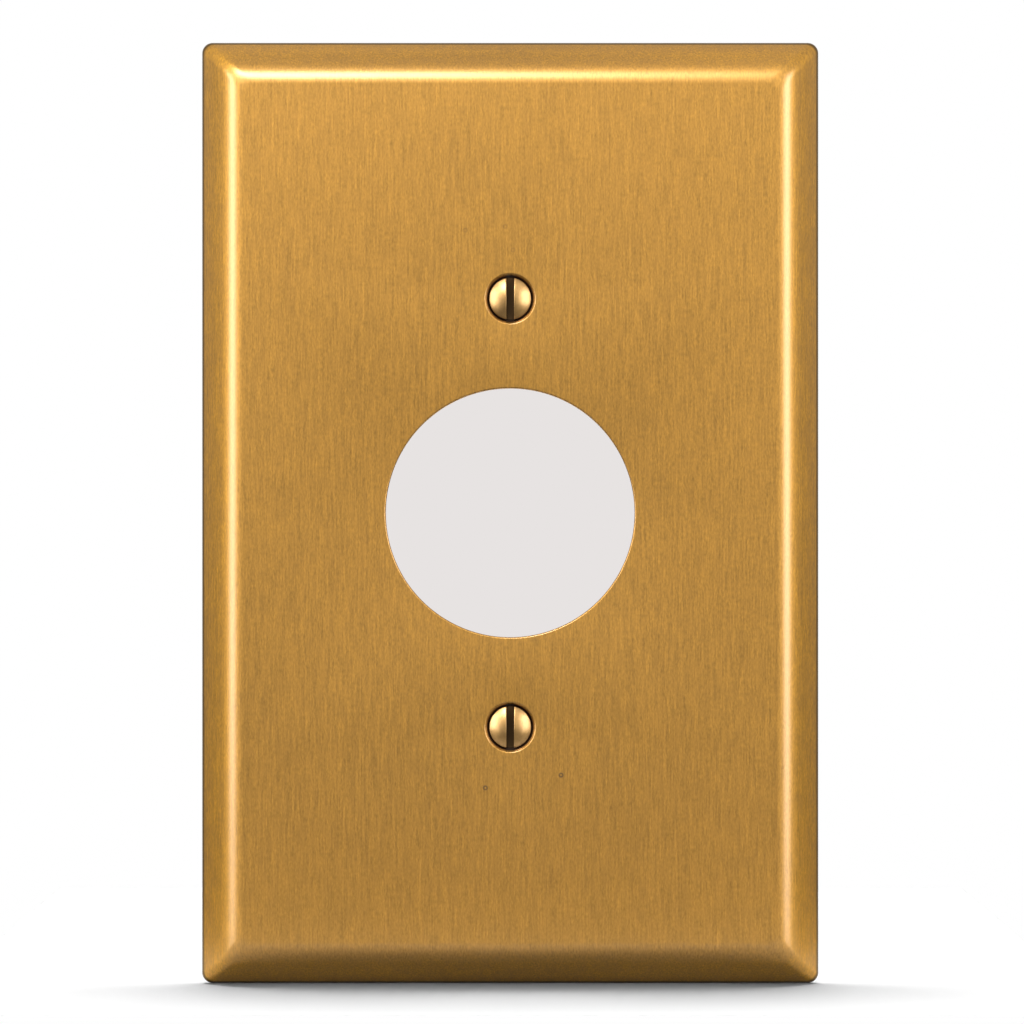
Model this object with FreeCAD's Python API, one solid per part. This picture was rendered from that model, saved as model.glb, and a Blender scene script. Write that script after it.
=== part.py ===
# Oversize wall plate for a single receptacle, in sheet brass, with its two fixing screws.
#
# The plate is one piece of drawn sheet metal: a flat face, a softly bent and slightly crowned
# bevel on all four sides with rounded mitres, and a short skirt whose edge meets the wall.
# It has one round opening for the receptacle's face and two pressed-in countersinks, which
# show on the back as small conical bosses. Each countersink holds a slotted oval-head screw.
#
# Frame: X to the right, Y into the wall, Z up. The origin is in the wall plane, on the axis of
# the receptacle opening, so the whole plate lies in front of the wall, at negative Y.

import FreeCAD
import Part
import math
import os

# Driving dimensions, in millimetres and degrees

# Plate outline and sheet
plate_width = 87.4
plate_height = 133.35
sheet_thickness = 1.0
corner_bend_radius = 0.5  # inside radius of the outline's corners and of the mitres

# Section of the drawn edge, from the flat face out to the skirt
edge_width = 6.3  # from the outline in to where the flat face starts
crease_bend_radius = 4.0  # inside radius of the soft bend beside the face
crease_angle = 42.0  # slope at the end of that bend
slope_turn = 10.0  # what the crowned slope turns further, out to the rim
rim_bend_radius = 0.3  # inside radius of the bend into the skirt
skirt_height = 0.7  # straight part of the skirt

# Receptacle opening, for a single receptacle with a round face
opening_diameter = 35.0
opening_edge_round = 0.25

# Pressed-in countersinks for oval-head screws
screw_spacing = 60.325
countersink_angle = 82.0
mouth_diameter = 7.1  # where the cone would meet the face with a sharp edge
mouth_round = 0.25
dimple_wall = 0.8  # sheet left around the cone
dimple_lip = 0.3  # straight end of the hole behind the cone
dimple_root_round = 0.4  # fillet between the sheet's back and the boss
screw_hole_clearance = 0.23  # between the thread and the hole, all round

# Oval-head machine screws, number 6 by half an inch
head_diameter = 6.0
head_edge_height = 0.25  # cylindrical edge between the cone and the dome
dome_height = 0.8
slot_width = 1.05
slot_depth = 1.15  # from the top of the dome
thread_diameter = 3.505  # over the crests
neck_diameter = 2.95  # plain part under the head
neck_length = 1.1
screw_length = 12.7  # from the widest part of the head to the tip
tip_chamfer = 0.45
seat_clearance = 0.02  # between the head's cone and the countersink

cut_margin = 1.0  # how far cutting shapes run past what they cut
same_place = 1e-4  # tolerance when an edge is looked up by its size and place

# Sizes that follow from these

corner_radius = corner_bend_radius + sheet_thickness
crease_radius = crease_bend_radius + sheet_thickness
rim_radius = rim_bend_radius + sheet_thickness
crease_end = math.radians(crease_angle)
slope_end = math.radians(crease_angle + slope_turn)
slope_radius = (
    edge_width - crease_radius * math.sin(crease_end) - rim_radius * (1 - math.sin(slope_end))
) / (math.sin(slope_end) - math.sin(crease_end))
rim_depth = (
    crease_radius * (1 - math.cos(crease_end))
    + slope_radius * (math.cos(crease_end) - math.cos(slope_end))
    + rim_radius * math.cos(slope_end)
)
plate_depth = rim_depth + skirt_height

cone_half_angle = math.radians(countersink_angle / 2)
cone_slope = math.tan(cone_half_angle)
mouth_radius = mouth_diameter / 2
screw_hole_radius = thread_diameter / 2 + screw_hole_clearance
dimple_depth = (mouth_radius - screw_hole_radius) / cone_slope + dimple_lip

head_radius = head_diameter / 2
neck_radius = neck_diameter / 2
thread_radius = thread_diameter / 2
# How far the widest part of the head lies behind the plate's face
head_depth = (mouth_radius - head_radius) / cone_slope - seat_clearance / math.sin(cone_half_angle)


def point(x, depth, z):
    """A point at a depth behind the plate's face."""
    return FreeCAD.Vector(x, depth - plate_depth, z)


# Drawn edge


def bend(center_inset, center_depth, radius, start_angle, end_angle):
    """Arc of the edge's section, in inset from the outline (X) and depth behind the face (Y)."""

    def at(angle):
        return FreeCAD.Vector(
            center_inset - radius * math.sin(angle),
            center_depth - radius * math.cos(angle),
            0,
        )

    middle = (start_angle + end_angle) / 2
    return Part.Arc(at(start_angle), at(middle), at(end_angle)).toShape()


def edge_section(offset):
    """Section of the surface that lies an offset under the plate's outer surface."""
    slope_inset = edge_width + (slope_radius - crease_radius) * math.sin(crease_end)
    slope_depth = crease_radius + (slope_radius - crease_radius) * math.cos(crease_end)
    skirt_start = FreeCAD.Vector(offset, rim_depth, 0)
    return Part.Wire([
        bend(edge_width, crease_radius, crease_radius - offset, 0, crease_end),
        bend(slope_inset, slope_depth, slope_radius - offset, crease_end, slope_end),
        bend(rim_radius, rim_depth, rim_radius - offset, slope_end, math.pi / 2),
        Part.makeLine(skirt_start, FreeCAD.Vector(offset, plate_depth, 0)),
    ])


def corner_rail(section, side_x, side_z, setback_x, setback_z):
    """The section laid along a corner's diagonal, set back from the two sides that meet there."""
    along_x = side_x * (plate_width / 2 - setback_x)
    along_z = side_z * (plate_height / 2 - setback_z)
    shear = FreeCAD.Matrix(
        -side_x, 0, 0, along_x,
        0, 1, 0, -plate_depth,
        -side_z, 0, 1, along_z,
        0, 0, 0, 1,
    )
    return section.transformGeometry(shear)


def as_spline(edge):
    """The edge's curve as a spline that ends where the edge does."""
    return edge.Curve.toBSpline(edge.FirstParameter, edge.LastParameter)


def slid_face(rail_edge, arc):
    """The face that an arc covers as it slides along a rail without turning."""
    rail = as_spline(rail_edge)
    start = arc.getPole(1)
    poles = [[p + q - start for q in arc.getPoles()] for p in rail.getPoles()]
    weights = [[p * q for q in arc.getWeights()] for p in rail.getWeights()]
    surface = Part.BSplineSurface()
    surface.buildFromPolesMultsKnots(
        poles, rail.getMultiplicities(), arc.getMultiplicities(),
        rail.getKnots(), arc.getKnots(), False, False, rail.Degree, arc.Degree, weights,
    )
    return surface.toShape()


def corner_arc(side_x, side_z, radius):
    """Quarter circle in plan, from the corner's upright side round to its level side."""
    half = radius * math.sqrt(0.5)
    start = FreeCAD.Vector(side_x * radius, 0, 0)
    middle = FreeCAD.Vector(side_x * half, 0, side_z * half)
    end = FreeCAD.Vector(0, 0, side_z * radius)
    return as_spline(Part.Arc(start, middle, end).toShape())


def rounded_outline(half_width, half_height, radius, depth):
    """Flat face with four rounded corners, parallel to the wall."""
    rectangle = Part.makePolygon([
        point(-half_width, depth, -half_height),
        point(half_width, depth, -half_height),
        point(half_width, depth, half_height),
        point(-half_width, depth, half_height),
        point(-half_width, depth, -half_height),
    ])
    prism = Part.Face(rectangle).extrude(FreeCAD.Vector(0, 1, 0))
    corners = [e for e in prism.Edges if e.BoundBox.YLength > same_place]
    rounded = prism.makeFillet(radius, corners)
    return min(rounded.Faces, key=lambda face: face.CenterOfMass.y)


def pan(offset):
    """Solid between the wall and the surface that lies an offset under the plate's outer one."""
    section = edge_section(offset)
    radius = corner_radius - offset
    upright = {}  # rails where a corner meets its left or right side
    level = {}  # rails where a corner meets the top or bottom side
    faces = []
    for side_x in (-1, 1):
        for side_z in (-1, 1):
            corner = (side_x, side_z)
            upright[corner] = corner_rail(section, side_x, side_z, 0, radius)
            level[corner] = corner_rail(section, side_x, side_z, radius, 0)
            arc = corner_arc(side_x, side_z, radius)
            faces += [slid_face(edge, arc) for edge in upright[corner].Edges]
    for side in (-1, 1):
        faces += Part.makeRuledSurface(upright[(side, -1)], upright[(side, 1)]).Faces
        faces += Part.makeRuledSurface(level[(-1, side)], level[(1, side)]).Faces
    for inset, depth in ((edge_width, offset), (offset, plate_depth)):
        half_width = plate_width / 2 - inset
        half_height = plate_height / 2 - inset
        faces.append(rounded_outline(half_width, half_height, radius, depth))
    shell = Part.makeShell(faces)
    shell.sewShape()
    return Part.makeSolid(shell)


# Holes


def into_wall(radius, z, start_depth, end_depth, end_radius=None):
    """Round solid along Y at a height on the plate's centre line: a cylinder or a cone."""
    base = point(0, start_depth, z)
    direction = FreeCAD.Vector(0, 1, 0)
    length = end_depth - start_depth
    if end_radius is None:
        return Part.makeCylinder(radius, length, base, direction)
    return Part.makeCone(radius, end_radius, length, base, direction)


def ring_edges(solid, radius, z, depth):
    """The solid's circular edges of a radius, at a height and a depth."""
    center = point(0, depth, z)
    return [
        edge for edge in solid.Edges
        if isinstance(edge.Curve, Part.Circle)
        and abs(edge.Curve.Radius - radius) < same_place
        and (edge.Curve.Center - center).Length < same_place
    ]


def add_dimple(plate, z):
    """Presses a countersink into the face, with its boss on the back."""
    outset = dimple_wall / math.cos(cone_half_angle)
    root_radius = mouth_radius - sheet_thickness * cone_slope + outset
    end_radius = mouth_radius - dimple_depth * cone_slope + outset
    boss = into_wall(root_radius, z, sheet_thickness, dimple_depth, end_radius)
    plate = plate.fuse(boss).removeSplitter()
    plate = plate.makeFillet(
        dimple_root_round, ring_edges(plate, root_radius, z, sheet_thickness)
    )
    wide = mouth_radius + cut_margin * cone_slope
    cone_end = dimple_depth - dimple_lip
    plate = plate.cut(into_wall(wide, z, -cut_margin, cone_end, screw_hole_radius))
    plate = plate.cut(into_wall(screw_hole_radius, z, 0, dimple_depth + cut_margin))
    return plate.makeFillet(mouth_round, ring_edges(plate, mouth_radius, z, 0))


def wall_plate():
    """The drawn sheet with its opening and its two countersinks."""
    plate = pan(0).cut(pan(sheet_thickness))
    opening_radius = opening_diameter / 2
    plate = plate.cut(into_wall(opening_radius, 0, -cut_margin, plate_depth))
    plate = plate.makeFillet(opening_edge_round, ring_edges(plate, opening_radius, 0, 0))
    for side in (1, -1):
        plate = add_dimple(plate, side * screw_spacing / 2)
    return plate


# Screws


def screw_section():
    """Half section of a screw on its axis: radius along X, depth behind the head's edge along Y."""

    def at(radius, depth):
        return FreeCAD.Vector(radius, depth, 0)

    dome_foot = -head_edge_height
    dome_top = dome_foot - dome_height
    dome_radius = (head_radius**2 + dome_height**2) / (2 * dome_height)
    half_sweep = math.asin(head_radius / dome_radius) / 2
    dome_middle = at(
        dome_radius * math.sin(half_sweep),
        dome_top + dome_radius * (1 - math.cos(half_sweep)),
    )
    cone_end = (head_radius - neck_radius) / cone_slope
    thread_start = cone_end + neck_length
    lead = thread_radius - neck_radius
    corners = [
        at(head_radius, dome_foot),
        at(head_radius, 0),
        at(neck_radius, cone_end),
        at(neck_radius, thread_start - lead),
        at(thread_radius, thread_start),
        at(thread_radius, screw_length - tip_chamfer),
        at(thread_radius - tip_chamfer, screw_length),
        at(0, screw_length),
        at(0, dome_top),
    ]
    dome = Part.Arc(at(0, dome_top), dome_middle, corners[0]).toShape()
    sides = [Part.makeLine(a, b) for a, b in zip(corners, corners[1:])]
    return Part.Face(Part.Wire([dome] + sides))


def screw(z):
    """A slotted oval-head screw, seated in the countersink at a height, its slot upright."""
    axis = FreeCAD.Vector(0, 1, 0)
    blank = screw_section().revolve(FreeCAD.Vector(0, 0, 0), axis, 360)
    dome_top = -head_edge_height - dome_height
    slot = Part.makeBox(
        slot_width,
        slot_depth + cut_margin,
        head_diameter + 2 * cut_margin,
        FreeCAD.Vector(-slot_width / 2, dome_top - cut_margin, -head_radius - cut_margin),
    )
    body = blank.cut(slot)
    body.translate(point(0, head_depth, z))
    return body


def export(shape, name):
    """Writes one piece to parts/, and stops if it isn't one sound solid."""
    if not shape.isValid() or len(shape.Solids) != 1:
        raise RuntimeError(name + " is not one valid solid")
    shape.Solids[0].exportStep("parts/" + name + ".step")
    box = shape.BoundBox
    sizes = (box.XLength, box.YLength, box.ZLength, shape.Volume)
    print(name, "%.2f x %.2f x %.2f mm, %.1f mm3" % sizes)


os.makedirs("parts", exist_ok=True)
export(wall_plate(), "wall_plate")
export(screw(screw_spacing / 2), "upper_screw")
export(screw(-screw_spacing / 2), "lower_screw")
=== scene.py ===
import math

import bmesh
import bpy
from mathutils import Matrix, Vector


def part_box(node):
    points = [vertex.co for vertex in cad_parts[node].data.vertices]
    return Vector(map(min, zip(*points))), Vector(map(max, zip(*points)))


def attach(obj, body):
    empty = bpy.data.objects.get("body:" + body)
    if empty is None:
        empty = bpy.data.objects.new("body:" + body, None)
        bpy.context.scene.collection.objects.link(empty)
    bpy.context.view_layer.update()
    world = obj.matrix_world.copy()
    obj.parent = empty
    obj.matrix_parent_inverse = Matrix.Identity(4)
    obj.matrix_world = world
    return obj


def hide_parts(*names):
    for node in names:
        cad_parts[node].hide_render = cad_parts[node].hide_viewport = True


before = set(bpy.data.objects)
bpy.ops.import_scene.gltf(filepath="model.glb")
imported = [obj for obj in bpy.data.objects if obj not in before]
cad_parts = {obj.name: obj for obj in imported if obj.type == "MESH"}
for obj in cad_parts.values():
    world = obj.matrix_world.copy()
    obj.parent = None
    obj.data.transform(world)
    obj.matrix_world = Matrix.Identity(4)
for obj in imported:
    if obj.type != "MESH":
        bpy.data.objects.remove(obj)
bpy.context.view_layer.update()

# Looks of an oversize brass wall plate for a single receptacle: brushed sheet brass with a
# drawn bevel, and two satin oval-head screws. Everything is in metres, in the part's frame:
# X to the right, Y into the wall, Z up, origin in the wall plane on the opening's axis.

MM = 0.001
plate_low, plate_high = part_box("wall_plate")

# Sizes of the plate

half_width = plate_high.x
half_height = plate_high.z
face_y = plate_low.y
plate_depth = -face_y
sheet = 1.0 * MM
corner_radius = 1.5 * MM
edge_width = 6.3 * MM
crease_radius = 5.0 * MM
rim_radius = 1.3 * MM
crease_end = math.radians(42)
slope_end = math.radians(52)

opening_radius = 17.5 * MM
opening_round = 0.25 * MM

screw_height = 30.1625 * MM
cone_half_angle = math.radians(41)
cone_slope = math.tan(cone_half_angle)
mouth_radius = 3.55 * MM
mouth_round = 0.25 * MM
screw_hole_radius = 1.9825 * MM
dimple_wall = 0.8 * MM
dimple_lip = 0.3 * MM
root_round = 0.4 * MM

# Sizes of the screws

head_radius = 3.0 * MM
head_edge = 0.25 * MM
dome_height = 0.8 * MM
slot_half = 0.525 * MM
slot_depth = 1.15 * MM
slot_edge_round = 0.12 * MM
seat_clearance = 0.02 * MM
neck_radius = 1.475 * MM
neck_length = 1.1 * MM
thread_radius = 1.7525 * MM
inch = 25.4 * MM
threads_per_inch = 32
thread_pitch = inch / threads_per_inch
thread_height = 0.44 * MM
ridge_start = 0.18  # where a flank leaves the root, as a share of half a turn
ridge_span = 0.64
ridge_rounding = 0.35
screw_length = 12.7 * MM
tip_chamfer = 0.45 * MM

head_depth = (mouth_radius - head_radius) / cone_slope - seat_clearance / math.sin(cone_half_angle)

# How finely round forms are divided

crease_steps = 22
slope_steps = 6
rim_steps = 8
corner_steps = 12
side_steps = 10
opening_steps = 160
dimple_steps = 72
round_steps = 8

# Angles in degrees above which an edge is shaded sharp

plate_sharp_angle = 30
screw_sharp_angle = 32


# Mesh helpers


def arc(center, radius, start, end, steps):
    """Points from angle start to end, measured from the axis that points out of the wall."""
    points = []
    for i in range(steps + 1):
        angle = start + (end - start) * i / steps
        across = center[0] - radius * math.sin(angle)
        depth = center[1] - radius * math.cos(angle)
        points.append((across, depth))
    return points


def join(*parts):
    """One list of points from several that meet end to end."""
    points = list(parts[0])
    for part in parts[1:]:
        points += part[1:]
    return points


def add_ring(bm, points):
    """A closed ring of vertices."""
    return [bm.verts.new(p) for p in points]


def bridge(bm, ring_a, ring_b):
    """Quads between two closed rings with as many vertices."""
    count = len(ring_a)
    for i in range(count):
        j = (i + 1) % count
        bm.faces.new((ring_a[i], ring_a[j], ring_b[j], ring_b[i]))


def bridge_all(bm, rings):
    """Quads between each ring and the next."""
    for ring_a, ring_b in zip(rings, rings[1:]):
        bridge(bm, ring_a, ring_b)


def ring_edges(bm, ring):
    """The edges that run round a ring."""
    count = len(ring)
    return [bm.edges.get((ring[i], ring[(i + 1) % count])) for i in range(count)]


def fill(bm, rings):
    """A flat face between an outer ring and the holes in it."""
    edges = [edge for ring in rings for edge in ring_edges(bm, ring)]
    bmesh.ops.triangle_fill(bm, edges=edges, use_beauty=True, use_dissolve=False)


def finish_mesh(bm, name, material, sharp_angle):
    """Turns the mesh into a smooth-shaded object that rides on the part's body."""
    bmesh.ops.recalc_face_normals(bm, faces=bm.faces)
    mesh = bpy.data.meshes.new(name)
    bm.to_mesh(mesh)
    bm.free()
    mesh.polygons.foreach_set("use_smooth", [True] * len(mesh.polygons))
    mesh.set_sharp_from_angle(angle=math.radians(sharp_angle))
    mesh.materials.append(material)
    obj = bpy.data.objects.new(name, mesh)
    bpy.context.scene.collection.objects.link(obj)
    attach(obj, "root")
    return obj


# Plate


def side_fractions():
    """Places along a straight side, closer together near its ends."""
    return [(1 - math.cos(math.pi * i / side_steps)) / 2 for i in range(1, side_steps)]


def outline_ring(inset, depth, radius):
    """Rounded rectangle round the plate, at an inset from its outline and a depth."""
    across = half_width - inset - radius
    up = half_height - inset - radius
    corners = ((1, 1), (-1, 1), (-1, -1), (1, -1))
    points = []
    for number, (side_x, side_z) in enumerate(corners):
        for i in range(corner_steps + 1):
            angle = math.pi / 2 * (number + i / corner_steps)
            x = side_x * across + radius * math.cos(angle)
            z = side_z * up + radius * math.sin(angle)
            points.append(Vector((x, face_y + depth, z)))
        next_x, next_z = corners[(number + 1) % 4]
        angle = math.pi / 2 * (number + 1)
        reach = Vector((math.cos(angle), 0, math.sin(angle))) * radius
        start = Vector((side_x * across, face_y + depth, side_z * up)) + reach
        end = Vector((next_x * across, face_y + depth, next_z * up)) + reach
        points += [start.lerp(end, t) for t in side_fractions()]
    return points


def edge_profile(offset):
    """Section of the drawn edge at an offset under the outer surface: (inset, depth) points."""
    slope_radius = (
        edge_width - crease_radius * math.sin(crease_end) - rim_radius * (1 - math.sin(slope_end))
    ) / (math.sin(slope_end) - math.sin(crease_end))
    slope_center = (
        edge_width + (slope_radius - crease_radius) * math.sin(crease_end),
        crease_radius + (slope_radius - crease_radius) * math.cos(crease_end),
    )
    rim_depth = (
        crease_radius * (1 - math.cos(crease_end))
        + slope_radius * (math.cos(crease_end) - math.cos(slope_end))
        + rim_radius * math.cos(slope_end)
    )
    crease_center = (edge_width, crease_radius)
    rim_center = (rim_radius, rim_depth)
    return join(
        arc(crease_center, crease_radius - offset, 0, crease_end, crease_steps),
        arc(slope_center, slope_radius - offset, crease_end, slope_end, slope_steps),
        arc(rim_center, rim_radius - offset, slope_end, math.pi / 2, rim_steps),
        [(offset, rim_depth), (offset, plate_depth)],
    )


def turned_ring(radius, depth, height, steps):
    """Circle round a line into the wall, at a depth behind the face."""
    points = []
    for i in range(steps):
        angle = 2 * math.pi * i / steps
        x = radius * math.cos(angle)
        z = height + radius * math.sin(angle)
        points.append(Vector((x, face_y + depth, z)))
    return points


def turned(bm, profile, height, steps):
    """Rings of a turned form, one for each (radius, depth) point of its profile."""
    rings = [add_ring(bm, turned_ring(r, d, height, steps)) for r, d in profile]
    bridge_all(bm, rings)
    return rings


def opening_profile():
    """From the face round the rounded front edge and through the sheet."""
    center = (opening_radius + opening_round, opening_round)
    front = arc(center, opening_round, 0, math.pi / 2, round_steps)
    return join(front, [(opening_radius, opening_round), (opening_radius, sheet)])


def dimple_profile():
    """From the face down the countersink, round its lip and back up the boss to the sheet."""
    turn = math.pi / 2 - cone_half_angle
    reach = mouth_round * math.tan(turn / 2)
    mouth = arc((mouth_radius + reach, mouth_round), mouth_round, 0, turn, round_steps)
    cone_end = (mouth_radius - screw_hole_radius) / cone_slope
    lip_end = cone_end + dimple_lip
    outset = dimple_wall / math.cos(cone_half_angle)
    boss_end = mouth_radius - lip_end * cone_slope + outset
    boss_root = mouth_radius - sheet * cone_slope + outset
    root_reach = root_round * math.tan(turn / 2)
    root_center = (boss_root + root_reach, sheet + root_round)
    root = [
        (root_center[0] - root_round * math.sin(a), root_center[1] - root_round * math.cos(a))
        for a in (turn * (1 - i / round_steps) for i in range(round_steps + 1))
    ]
    return mouth + [
        (screw_hole_radius, cone_end),
        (screw_hole_radius, lip_end),
        (boss_end, lip_end),
    ] + root


def make_plate(material):
    """The drawn sheet, with its opening and countersinks."""
    bm = bmesh.new()
    outer = [
        add_ring(bm, outline_ring(inset, depth, corner_radius))
        for inset, depth in edge_profile(0)
    ]
    inner = [
        add_ring(bm, outline_ring(inset, depth, corner_radius - sheet))
        for inset, depth in edge_profile(sheet)
    ]
    bridge_all(bm, outer)
    bridge_all(bm, inner)
    bridge(bm, outer[-1], inner[-1])
    holes = [turned(bm, opening_profile(), 0, opening_steps)]
    for height in (screw_height, -screw_height):
        holes.append(turned(bm, dimple_profile(), height, dimple_steps))
    fill(bm, [outer[0]] + [rings[0] for rings in holes])
    fill(bm, [inner[0]] + [rings[-1] for rings in holes])
    return finish_mesh(bm, "plate_sheet", material, plate_sharp_angle)


# Screws

head_steps = 40  # along each half's round side
chord_steps = 16  # along the slot
end_steps = 4  # across each end of the slot
rows_per_pitch = 16

# Insets in mm of the rings on each half of the dome, close together at its rounded edge
head_insets = [0, 0.012, 0.03, 0.055, 0.085, 0.12, 0.2, 0.32, 0.46, 0.62, 0.78, 0.94, 1.06, 1.16]


def dome_depth(radius):
    """Depth of the dome behind the head's widest part, negative towards the viewer."""
    ball = (head_radius**2 + dome_height**2) / (2 * dome_height)
    return -head_edge - dome_height + ball - math.sqrt(ball**2 - radius**2)


def rounding(distance):
    """How far an edge's small round lies under the sharp edge, at a distance from it."""
    short = min(max(slot_edge_round - distance, 0), slot_edge_round)
    return slot_edge_round - math.sqrt(slot_edge_round**2 - short**2)


def half_head_ring(inset, side):
    """D-shaped ring on one half of the dome, at an inset from the slot and the head's edge."""
    near = slot_half + inset
    radius = head_radius - inset
    corner = math.acos(near / radius)
    flat = []
    for i in range(head_steps + 1):
        angle = -corner + 2 * corner * i / head_steps
        flat.append((radius * math.cos(angle), radius * math.sin(angle)))
    top = radius * math.sin(corner)
    for i in range(1, chord_steps):
        flat.append((near, top - 2 * top * i / chord_steps))
    points = []
    for x, z in flat:
        from_axis = math.hypot(x, z)
        drop = rounding(x - slot_half) + rounding(head_radius - from_axis)
        points.append((side * x, dome_depth(min(from_axis, head_radius)) + drop, z))
    return points


def make_screw(name, height, material):
    """A slotted oval-head screw with a rolled thread, its slot upright."""
    bm = bmesh.new()
    place = Vector((0, face_y + head_depth, height))
    floor_depth = slot_depth - head_edge - dome_height
    cone_end = (head_radius - neck_radius) / cone_slope

    def vert(x, depth, z):
        return bm.verts.new(place + Vector((x, depth, z)))

    def cone_radius(depth):
        return head_radius - depth * cone_slope

    floor_radius = cone_radius(floor_depth)
    floor_corner = math.acos(slot_half / floor_radius)
    round_count = head_steps + 1
    sides = {}
    floor_arcs = {}
    for side in (1, -1):
        rings = [
            [vert(*p) for p in half_head_ring(inset * MM, side)]
            for inset in head_insets
        ]
        bridge_all(bm, rings)
        bm.faces.new(rings[-1])
        edge = rings[0][:round_count]
        below = []
        for v in edge:
            local = v.co - place
            scale = head_radius / math.hypot(local.x, local.z)
            below.append(vert(local.x * scale, 0, local.z * scale))
        floor_arc = []
        for i in range(round_count):
            angle = -floor_corner + 2 * floor_corner * i / head_steps
            x = side * floor_radius * math.cos(angle)
            floor_arc.append(vert(x, floor_depth, floor_radius * math.sin(angle)))
        for upper, lower in ((edge, below), (below, floor_arc)):
            for i in range(head_steps):
                bm.faces.new((upper[i], upper[i + 1], lower[i + 1], lower[i]))
        chord = [edge[-1]] + rings[0][round_count:] + [edge[0]]
        top = floor_radius * math.sin(floor_corner)
        floor_chord = [floor_arc[-1]]
        for i in range(1, chord_steps):
            z = top - 2 * top * i / chord_steps
            floor_chord.append(vert(side * slot_half, floor_depth, z))
        floor_chord.append(floor_arc[0])
        for i in range(chord_steps):
            bm.faces.new((chord[i], chord[i + 1], floor_chord[i + 1], floor_chord[i]))
        bm.faces.new((edge[-1], below[-1], floor_arc[-1]))
        bm.faces.new((edge[0], below[0], floor_arc[0]))
        sides[side] = floor_chord
        floor_arcs[side] = floor_arc

    def slot_end(sign):
        """The floor's rounded end, between its two corners."""
        spread = math.pi / 2 - floor_corner
        points = []
        for i in range(1, end_steps):
            angle = math.pi / 2 - spread + 2 * spread * i / end_steps
            x = floor_radius * math.cos(angle)
            points.append(vert(x, floor_depth, sign * floor_radius * math.sin(angle)))
        return points

    upper_end = slot_end(1)
    lower_end = slot_end(-1)
    slot_floor = sides[1][::-1] + upper_end + sides[-1] + lower_end[::-1]
    bm.faces.new(slot_floor)
    full = floor_arcs[1] + upper_end + floor_arcs[-1][::-1] + lower_end[::-1]

    def row_of(depth, radius_at):
        row = []
        for v in full:
            local = v.co - place
            angle = math.atan2(local.z, local.x)
            radius = radius_at(angle)
            row.append(vert(radius * math.cos(angle), depth, radius * math.sin(angle)))
        return row

    thread_start = cone_end + neck_length

    def thread_at(depth):
        """Radius round the thread at a depth: a rounded helical ridge that fades at its ends."""
        fade_in = min(max((depth - thread_start + thread_pitch) / thread_pitch, 0), 1)
        to_tip = (screw_length - depth) / tip_chamfer
        limit = thread_radius - tip_chamfer * max(0, 1 - to_tip)

        def radius(angle):
            turn = depth / thread_pitch - angle / (2 * math.pi)
            wave = abs(2 * (turn % 1) - 1)
            flank = min(max((wave - ridge_start) / ridge_span, 0), 1)
            rounded = flank * flank * (3 - 2 * flank)
            ridge = rounded * ridge_rounding + flank * (1 - ridge_rounding)
            root = thread_radius - thread_height
            grown = root + (neck_radius - root) * (1 - fade_in)
            crest = thread_radius * fade_in + neck_radius * (1 - fade_in)
            return min(grown + (crest - grown) * ridge, limit)

        return radius

    rows = [full, row_of(cone_end, lambda angle: neck_radius)]
    first = thread_start - thread_pitch
    count = math.ceil((screw_length - first) / thread_pitch * rows_per_pitch)
    for i in range(count + 1):
        depth = first + (screw_length - first) * i / count
        rows.append(row_of(depth, thread_at(depth)))
    bridge_all(bm, rows)
    bm.faces.new(rows[-1])
    return finish_mesh(bm, name, material, screw_sharp_angle)


# Materials


def new_material(name):
    """An empty node material with its shader and output."""
    material = bpy.data.materials.new(name)
    material.use_nodes = True
    nodes = material.node_tree.nodes
    nodes.clear()
    output = nodes.new("ShaderNodeOutputMaterial")
    shader = nodes.new("ShaderNodeBsdfPrincipled")
    material.node_tree.links.new(shader.outputs["BSDF"], output.inputs["Surface"])
    return material, shader


# The Mix node's colour sockets, by number because other sockets have the same names
mix_a = 6
mix_b = 7
mix_result = 2


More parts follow.
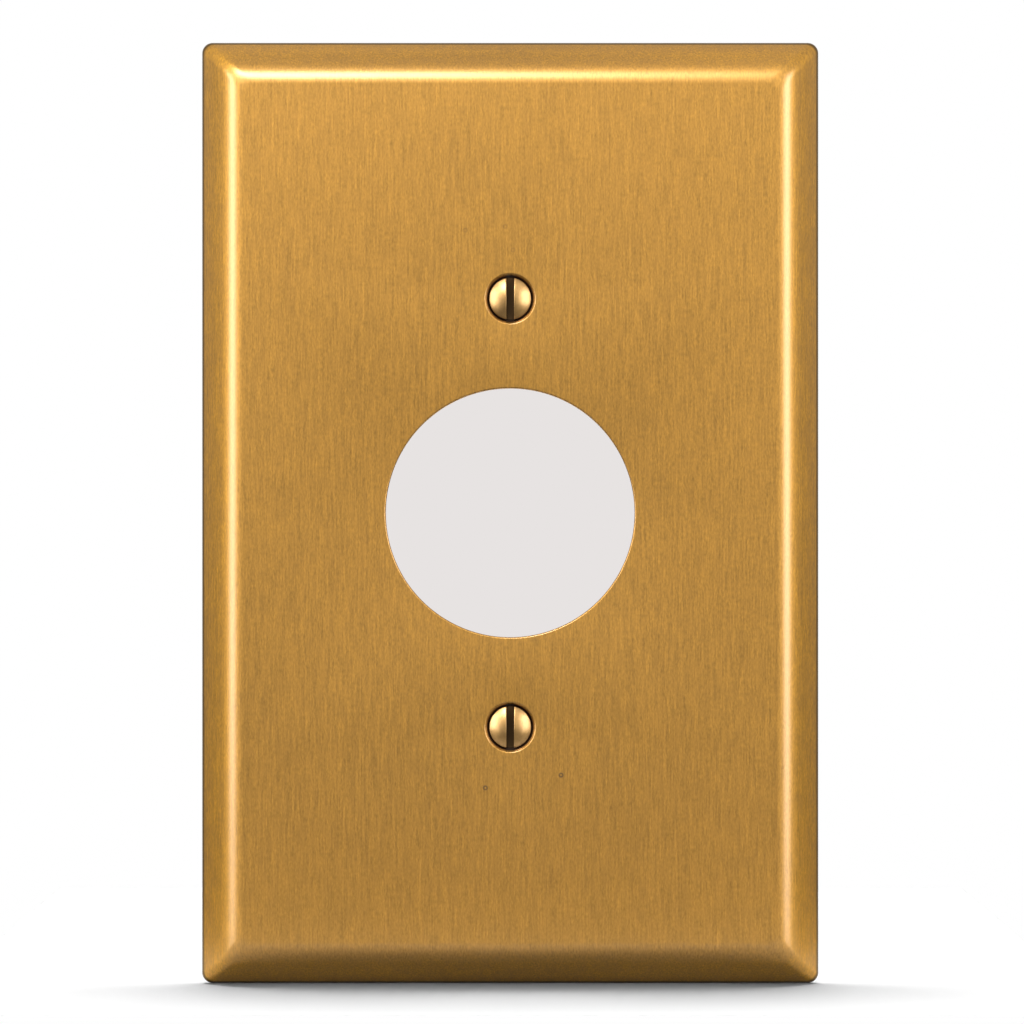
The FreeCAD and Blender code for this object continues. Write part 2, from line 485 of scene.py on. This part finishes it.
class Graph:
    """Short calls that add nodes to a tree and link them."""

    def __init__(self, tree):
        self.tree = tree

    def link(self, source, target):
        self.tree.links.new(source, target)

    def node(self, kind, **settings):
        node = self.tree.nodes.new(kind)
        for key, value in settings.items():
            setattr(node, key, value)
        return node

    def put(self, socket, value):
        """Links a socket, or sets a plain value on it."""
        if isinstance(value, bpy.types.NodeSocket):
            self.link(value, socket)
        else:
            socket.default_value = value

    def math(self, operation, a, b=0.0):
        node = self.node("ShaderNodeMath", operation=operation)
        self.put(node.inputs[0], a)
        self.put(node.inputs[1], b)
        return node.outputs[0]

    def position(self):
        return self.node("ShaderNodeTexCoord").outputs["Object"]

    def stretch(self, vector, scale):
        node = self.node("ShaderNodeVectorMath", operation="MULTIPLY")
        self.put(node.inputs[0], vector)
        node.inputs[1].default_value = scale
        return node.outputs[0]

    def noise(self, vector, scale, detail=2.0, roughness=0.5):
        node = self.node("ShaderNodeTexNoise")
        self.put(node.inputs["Vector"], vector)
        node.inputs["Scale"].default_value = scale
        node.inputs["Detail"].default_value = detail
        node.inputs["Roughness"].default_value = roughness
        return node.outputs["Fac"]

    def ramp(self, value, low, high, to_low=0.0, to_high=1.0, smooth=True):
        """Maps a range of values to another, and holds it at the ends."""
        node = self.node("ShaderNodeMapRange")
        node.interpolation_type = "SMOOTHSTEP" if smooth else "LINEAR"
        self.put(node.inputs["Value"], value)
        node.inputs["From Min"].default_value = low
        node.inputs["From Max"].default_value = high
        node.inputs["To Min"].default_value = to_low
        node.inputs["To Max"].default_value = to_high
        return node.outputs["Result"]

    def mix(self, factor, a, b):
        node = self.node("ShaderNodeMix", data_type="RGBA")
        self.put(node.inputs["Factor"], factor)
        self.put(node.inputs[mix_a], a)
        self.put(node.inputs[mix_b], b)
        return node.outputs[mix_result]

    def split(self, vector):
        node = self.node("ShaderNodeSeparateXYZ")
        self.put(node.inputs[0], vector)
        return node.outputs["X"], node.outputs["Y"], node.outputs["Z"]

    def distance(self, vector, point):
        node = self.node("ShaderNodeVectorMath", operation="DISTANCE")
        self.put(node.inputs[0], vector)
        node.inputs[1].default_value = point
        return node.outputs["Value"]

    def from_screw(self, place):
        """Distance from the nearer screw's axis."""
        flat = self.stretch(place, (1, 0, 1))
        upper = self.distance(flat, (0, 0, screw_height))
        lower = self.distance(flat, (0, 0, -screw_height))
        return self.math("MINIMUM", upper, lower)

    def bump(self, height, strength, distance):
        node = self.node("ShaderNodeBump")
        self.put(node.inputs["Height"], height)
        node.inputs["Strength"].default_value = strength
        node.inputs["Distance"].default_value = distance
        return node.outputs["Normal"]


# Colours of the plate's dark and light streaks, on the face and on the slopes, and the depths
# behind the face between which one gives way to the other. The slopes' colours are painted
# light: a brighter copy of the face's brass, more red and green and less blue.
face_dark = (0.308, 0.152, 0.015, 1)
face_light = (0.575, 0.283, 0.033, 1)
painted_lit_slope_dark = (0.42, 0.203, 0.012, 1)
painted_lit_slope_light = (0.79, 0.382, 0.023, 1)
slope_color_from = 0.3 * MM
slope_color_to = 1.3 * MM

# Brush streaks: how wide and long they are in mm, and each kind's share
brush_streaks = [(0.21, 0.55, 0.44), (0.23, 2.2, 0.34), (0.26, 8.0, 0.22)]
streak_detail = 1
streak_range = (0.3, 0.7)

# Broad soft blotches, longer upright
blotch_color = (0.45, 0.22, 0.028, 1)
blotch_stretch = (1, 1, 0.5)
blotch_scale = 700
blotch_range = (0.4, 0.6)
blotch_share = 0.25

# Small dark rings in the plate's finish: x and z in mm, and how dark each is
marks = [
    (-3.5, -38.7, 0.8),
    (7.15, -36.9, 0.8),
    (-0.7, 40.3, 0.25),
    (0.4, 37.0, 0.25),
    (-6.3, 39.8, 0.25),
]
mark_color = (0.13, 0.07, 0.02, 1)
mark_radius = 0.24 * MM
mark_line = 0.02 * MM
mark_fade = 0.2 * MM

# Painted shade at the outline, next to the wall, standing in for the dark reflection in the rim's
# bend
rim_shade_color = (0.05, 0.035, 0.012, 1)
rim_from = -1.75 * MM
rim_to = -1.4 * MM
rim_shade_share = 0.8

# Painted shade in the countersink, in the gap between the head and the mouth
crevice_shade_color = (0.03, 0.009, 0.002, 1)
crevice_inner = 3.22 * MM
crevice_outer = 3.42 * MM
crevice_shade_share = 0.95
crevice_deep = 1.2 * MM
crevice_end = 1.5 * MM

# Surface and lacquer of the plate: the lacquer thins with the depth behind the face
plate_roughness = (0.42, 0.48)
plate_anisotropy = 0.25
plate_bump = 0.25
plate_bump_height = 0.02 * MM
plate_coat_roughness = 0.27
coat_ior = 1.66
lacquer_full = 1.0 * MM
lacquer_thin = 2.0 * MM
slope_lacquer = 0.8
rim_lacquer_loss = 0.7

# Brass of the screws
screw_dark = (0.42, 0.225, 0.05, 1)
screw_light = (0.51, 0.282, 0.07, 1)
swirl_scale = 900
swirl_detail = 3
swirl_roughness = 0.6
swirl_range = (0.35, 0.65)
soft_scale = 350
soft_range = (0.3, 0.7)
screw_roughness = (0.34, 0.42)
screw_bump = 0.12
screw_bump_height = 0.01 * MM
screw_coat_roughness = 0.32
bare_coat = 0.1

# Painted shade in the slot and on the head's edge, and the duller shank behind the head
slot_shade_color = (0.03, 0.016, 0.007, 1)
slot_shade_share = 0.95
slot_fade = 0.03 * MM
slot_dulling = 0.3
edge_shade_color = (0.045, 0.012, 0.003, 1)
edge_shade_share = 0.95
edge_from = 2.9 * MM
edge_to = 2.98 * MM
head_margin = 0.3 * MM
head_fade = 0.1 * MM
shank_fade = 1.5 * MM
shank_dulling = 0.2


def plate_brass():
    """Sheet brass brushed up and down, under a thin satin lacquer, with light painted on the slopes
    and shade painted at the outline and round the heads.
    """
    material, shader = new_material("brushed_brass")
    g = Graph(material.node_tree)
    place = g.position()
    streak = 0.0
    for width, length, share in brush_streaks:
        stretched = g.stretch(place, (1, 1, width / length))
        lines = g.noise(stretched, 1 / (width * MM), streak_detail)
        streak = g.math("ADD", streak, g.math("MULTIPLY", lines, share))
    tone = g.ramp(streak, *streak_range, smooth=False)
    _, y, _ = g.split(place)
    # painted light: behind the face the colour passes to the brighter slope brass
    painted_slope_light = g.ramp(y, face_y + slope_color_from, face_y + slope_color_to)
    dark = g.mix(painted_slope_light, face_dark, painted_lit_slope_dark)
    light = g.mix(painted_slope_light, face_light, painted_lit_slope_light)
    color = g.mix(tone, dark, light)
    blotch = g.noise(g.stretch(place, blotch_stretch), blotch_scale)
    color = g.mix(g.ramp(blotch, *blotch_range, 0.0, blotch_share), color, blotch_color)
    for x, z, depth in marks:
        away = g.distance(place, (x * MM, face_y, z * MM))
        ring = g.math("SUBTRACT", away, mark_radius)
        ring = g.math("ABSOLUTE", ring)
        amount = g.ramp(ring, mark_line, mark_fade, depth, 0.0)
        color = g.mix(amount, color, mark_color)
    # painted shade along the outline next to the wall; the same band also thins the lacquer
    rim_shade_and_wear = g.ramp(y, rim_from, rim_to, 0.0, rim_shade_share)
    color = g.mix(rim_shade_and_wear, color, rim_shade_color)
    # painted shade in the gap round each head, inside the countersink
    crevice_shade = g.ramp(g.from_screw(place), crevice_inner, crevice_outer, crevice_shade_share, 0.0)
    in_front = g.ramp(y, face_y + crevice_deep, face_y + crevice_end, 1.0, 0.0)
    color = g.mix(g.math("MULTIPLY", crevice_shade, in_front), color, crevice_shade_color)
    g.link(color, shader.inputs["Base Color"])
    rough = g.ramp(streak, *streak_range, *plate_roughness, smooth=False)
    g.link(rough, shader.inputs["Roughness"])
    shader.inputs["Metallic"].default_value = 1.0
    shader.inputs["Anisotropic"].default_value = plate_anisotropy
    lacquer = g.ramp(y, face_y + lacquer_full, face_y + lacquer_thin, 1.0, slope_lacquer)
    lacquer = g.math("SUBTRACT", lacquer, g.math("MULTIPLY", rim_shade_and_wear, rim_lacquer_loss))
    g.link(lacquer, shader.inputs["Coat Weight"])
    shader.inputs["Coat Roughness"].default_value = plate_coat_roughness
    shader.inputs["Coat IOR"].default_value = coat_ior
    normal = g.bump(streak, plate_bump, plate_bump_height)
    g.link(normal, shader.inputs["Normal"])
    g.link(normal, shader.inputs["Coat Normal"])
    return material


def screw_brass():
    """Smooth brass under a satin lacquer, with shade painted into the slot and onto the head's
    edge, and a duller shank.
    """
    material, shader = new_material("screw_brass")
    g = Graph(material.node_tree)
    place = g.position()
    x, y, _ = g.split(place)
    swirl = g.noise(place, swirl_scale, swirl_detail, swirl_roughness)
    soft = g.noise(place, soft_scale)
    color = g.mix(g.ramp(swirl, *swirl_range), screw_dark, screw_light)
    # painted shade: the slot is coloured near black, and made duller and bare of lacquer
    inside = g.ramp(g.math("ABSOLUTE", x), slot_half, slot_half + slot_fade, 1.0, 0.0)
    head_back = face_y + head_depth + head_margin
    in_head = g.ramp(y, head_back, head_back + head_fade, 1.0, 0.0)
    shaded_slot = g.math("MULTIPLY", inside, in_head)
    color = g.mix(g.math("MULTIPLY", shaded_slot, slot_shade_share), color, slot_shade_color)
    # painted shade on the head's edge, next to the countersink
    edge = g.ramp(g.from_screw(place), edge_from, edge_to, 0.0, edge_shade_share)
    edge = g.math("MULTIPLY", edge, in_head)
    color = g.mix(edge, color, edge_shade_color)
    g.link(color, shader.inputs["Base Color"])
    shank = g.ramp(y, head_back, head_back + shank_fade, 0.0, shank_dulling)
    rough = g.ramp(soft, *soft_range, *screw_roughness, smooth=False)
    dulling = g.math("ADD", shank, g.math("MULTIPLY", shaded_slot, slot_dulling))
    g.link(g.math("ADD", rough, dulling), shader.inputs["Roughness"])
    shader.inputs["Metallic"].default_value = 1.0
    bare = g.math("MAXIMUM", shaded_slot, edge)
    lacquer = g.ramp(bare, 0.0, 1.0, 1.0, bare_coat, smooth=False)
    g.link(lacquer, shader.inputs["Coat Weight"])
    shader.inputs["Coat Roughness"].default_value = screw_coat_roughness
    shader.inputs["Coat IOR"].default_value = coat_ior
    normal = g.bump(swirl, screw_bump, screw_bump_height)
    g.link(normal, shader.inputs["Normal"])
    g.link(normal, shader.inputs["Coat Normal"])
    return material


# Pieces

plate_material = plate_brass()
screw_material = screw_brass()

plate = make_plate(plate_material)
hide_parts("wall_plate")
plate.visible_diffuse = False  # keeps the brass's glow off the floor

for name, sign in (("upper_screw", 1), ("lower_screw", -1)):
    screw = make_screw(name + "_slotted", sign * screw_height, screw_material)
    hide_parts(name)


# Floor

floor_gap = 0.05 * MM
floor_side = 0.08
floor_front = 0.039
floor_behind = 0.15
floor_color = (0.88, 0.88, 0.88, 1)


def make_floor():
    """Plain pale floor under the plate, which takes its shadow."""
    mesh = bpy.data.meshes.new("floor")
    z = -half_height - floor_gap
    corners = [
        (-floor_side, -floor_front, z),
        (floor_side, -floor_front, z),
        (floor_side, floor_behind, z),
        (-floor_side, floor_behind, z),
    ]
    mesh.from_pydata(corners, [], [(0, 1, 2, 3)])
    floor = bpy.data.objects.new("floor", mesh)
    bpy.context.scene.collection.objects.link(floor)
    material = bpy.data.materials.new("pale_floor")
    material.use_nodes = True
    tree = material.node_tree
    tree.nodes.clear()
    g = Graph(tree)
    output = g.node("ShaderNodeOutputMaterial")
    shader = g.node("ShaderNodeBsdfDiffuse")
    shader.inputs["Color"].default_value = floor_color
    g.link(shader.outputs[0], output.inputs["Surface"])
    mesh.materials.append(material)


make_floor()


# Light

# Lamps of the part: name, place, width and height, and radiance
softboxes = [
    ("top_light", (-0.15, -0.60, 0.48), (0.28, 0.24), 19.5),
    ("left_light", (-0.52, -0.51, 0.12), (0.25, 0.48), 7.8),
    ("right_light", (0.50, -0.55, 0.11), (0.25, 0.48), 7.8),
]

# Lights of the floor: how far each leans to the right and to the back, its spread, in degrees,
# and its level
floor_lights = [(0, 7.5, 19, 0.66), (-13, 5, 12, 0.24), (13, 5, 12, 0.18), (0, -38, 24, 0.2)]


def add_lamp(name, light, place, aim):
    """Puts a lamp in the scene and turns it along a direction."""
    obj = bpy.data.objects.new(name, light)
    obj.location = place
    obj.rotation_mode = "QUATERNION"
    obj.rotation_quaternion = Vector(aim).to_track_quat("-Z", "Y")
    bpy.context.scene.collection.objects.link(obj)
    obj.visible_camera = False
    return obj


def softbox(name, place, size, radiance):
    """A rectangular lamp that faces the middle of the plate and lights the part alone."""
    light = bpy.data.lights.new(name, "AREA")
    light.shape = "RECTANGLE"
    light.size = size[0]
    light.size_y = size[1]
    light.energy = radiance * math.pi * size[0] * size[1]
    lamp = add_lamp(name, light, place, -Vector(place))
    lamp.visible_diffuse = False


def floor_light(number, right, back, spread, level):
    """A wide soft light from far away that lights the floor alone."""
    name = "floor_light_%d" % number
    light = bpy.data.lights.new(name, "SUN")
    light.angle = math.radians(spread)
    light.energy = level * math.pi
    place = Vector((math.tan(math.radians(right)), math.tan(math.radians(back)), 1))
    lamp = add_lamp(name, light, place, -place)
    lamp.visible_glossy = False


for settings in softboxes:
    softbox(*settings)
for number, lean in enumerate(floor_lights):
    floor_light(number, *lean)

# Levels of the studio that the metal mirrors
studio_below = (0.2, 0.2, 0.2, 1)
studio_above = (0.6, 0.6, 0.6, 1)
overhead = (0.66, 0.66, 0.66, 1)
side_below = (0.2, 0.2, 0.2, 1)
side_above = (0.64, 0.64, 0.64, 1)

# Where these give way to each other, as a direction's z, and from front to side as its |x|
studio_rise = (-0.3, 0.4)
overhead_rise = (0.5, 0.85)
side_rise = (-0.1, 0.1)
side_turn = (0.35, 0.8)

# The background, where a mirrored direction's y passes from the studio into it, and the pale
# grey straight behind the opening
white = (1, 1, 1, 1)
backdrop_turn = (0.5, 0.9)
grey_behind_opening = (0.799, 0.768, 0.760, 1)
grey_behind_opening_reach = math.radians(2.9)


def make_world():
    """A white background for the camera, and a dim studio for the metal, white behind the part."""
    world = bpy.data.worlds.new("studio")
    world.use_nodes = True
    tree = world.node_tree
    tree.nodes.clear()
    g = Graph(tree)
    output = g.node("ShaderNodeOutputWorld")
    background = g.node("ShaderNodeBackground")
    g.link(background.outputs[0], output.inputs["Surface"])
    x, y, z = g.split(g.node("ShaderNodeTexCoord").outputs["Generated"])
    front = g.mix(g.ramp(z, *studio_rise), studio_below, studio_above)
    front = g.mix(g.ramp(z, *overhead_rise), front, overhead)
    side = g.mix(g.ramp(z, *side_rise), side_below, side_above)
    studio = g.mix(g.ramp(g.math("ABSOLUTE", x), *side_turn), front, side)
    behind = g.ramp(y, *backdrop_turn)
    studio = g.mix(behind, studio, white)
    from_axis = g.math("ADD", g.math("MULTIPLY", x, x), g.math("MULTIPLY", z, z))
    through = g.math("LESS_THAN", from_axis, math.sin(grey_behind_opening_reach)**2)
    through = g.math("MULTIPLY", through, g.math("GREATER_THAN", y, 0.0))
    # a pale grey disc of background straight behind the opening
    backdrop = g.mix(through, white, grey_behind_opening)
    rays = g.node("ShaderNodeLightPath")
    mirrored = g.math("MAXIMUM", rays.outputs["Is Glossy Ray"], rays.outputs["Is Transmission Ray"])
    mirrored = g.math("MULTIPLY", mirrored, behind)
    seen = g.math("MAXIMUM", rays.outputs["Is Camera Ray"], mirrored)
    g.link(g.mix(seen, studio, backdrop), background.inputs["Color"])
    bpy.context.scene.world = world
    world.cycles_visibility.diffuse = False  # leaves the floor to its own lights


make_world()


# Camera

lens = 148.0
sensor = 36.0
view_width = 145.47 * MM
camera_distance = lens / sensor * view_width
camera_right = 0.25 * MM
camera_up = 0.125 * MM


def make_camera():
    """Long lens straight in front of the plate."""
    data = bpy.data.cameras.new("camera")
    data.lens = lens
    data.sensor_width = sensor
    camera = bpy.data.objects.new("camera", data)
    camera.location = (camera_right, -camera_distance, camera_up)
    camera.rotation_euler = (math.pi / 2, 0, 0)
    bpy.context.scene.collection.objects.link(camera)
    bpy.context.scene.camera = camera


make_camera()
bpy.context.scene.view_settings.view_transform = "Standard"
